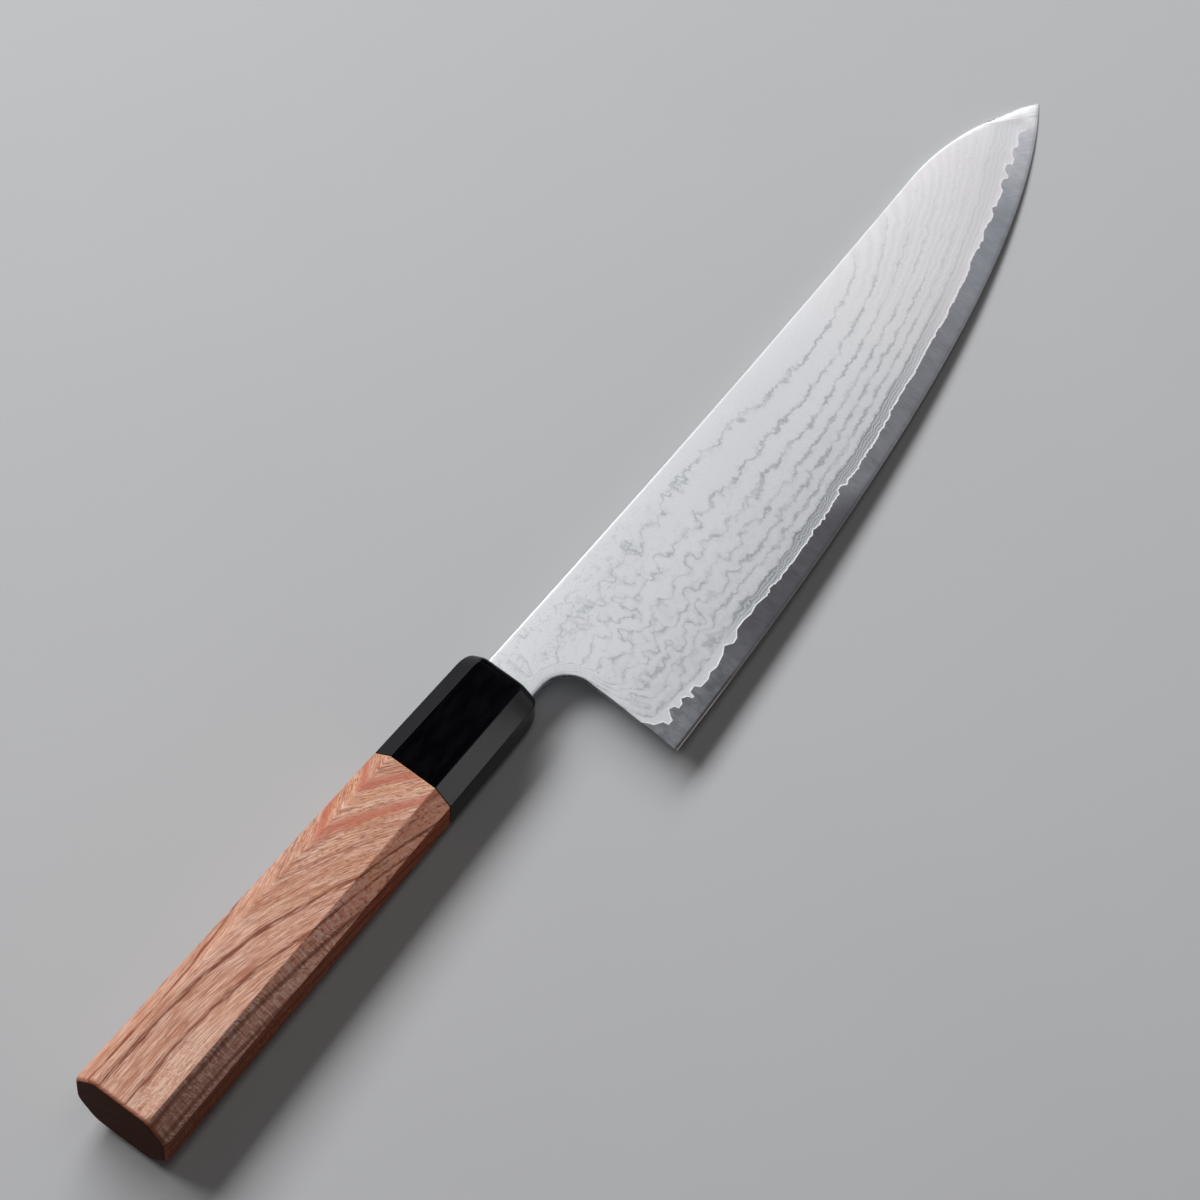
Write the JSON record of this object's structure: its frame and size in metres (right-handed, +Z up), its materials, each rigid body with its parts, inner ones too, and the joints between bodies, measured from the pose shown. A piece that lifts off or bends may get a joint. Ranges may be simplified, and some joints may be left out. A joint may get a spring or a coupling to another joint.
{
  "type": "gyuto knife",
  "caption": "Chef's knife with a layered steel blade, a round choil behind the heel, a stick tang and a tapered octagonal wooden handle with a black ferrule, for slicing and chopping.",
  "frame": {"origin": "middle of the bounding box's bottom, on the table that the knife rests on", "axes": "+X from the handle's butt towards the blade's tip, +Y from the cutting edge towards the spine, +Z up from the table. The knife lies on its left face, on the ferrule's lower front edge and the tip, so its own long axis is pitched 2.2 degrees, tip down."},
  "size_m": [0.3158, 0.0506, 0.0223],
  "materials": {
    "core_steel": "satin ground hard core steel",
    "damascus_steel": "fine satin with etched layer lines",
    "black_horn": "polished black horn",
    "handle_wood": "oiled straight-grained reddish hardwood",
    "dowel_wood": "plain turned wood",
    "adhesive": "set resin"
  },
  "bodies": {
    "root": {"core_steel": "core_steel", "right_cladding": "damascus_steel", "left_cladding": "damascus_steel", "ferrule": "black_horn", "handle_body": "handle_wood", "dowel": "dowel_wood", "tang_adhesive": "adhesive"}
  },
  "joints": []
}
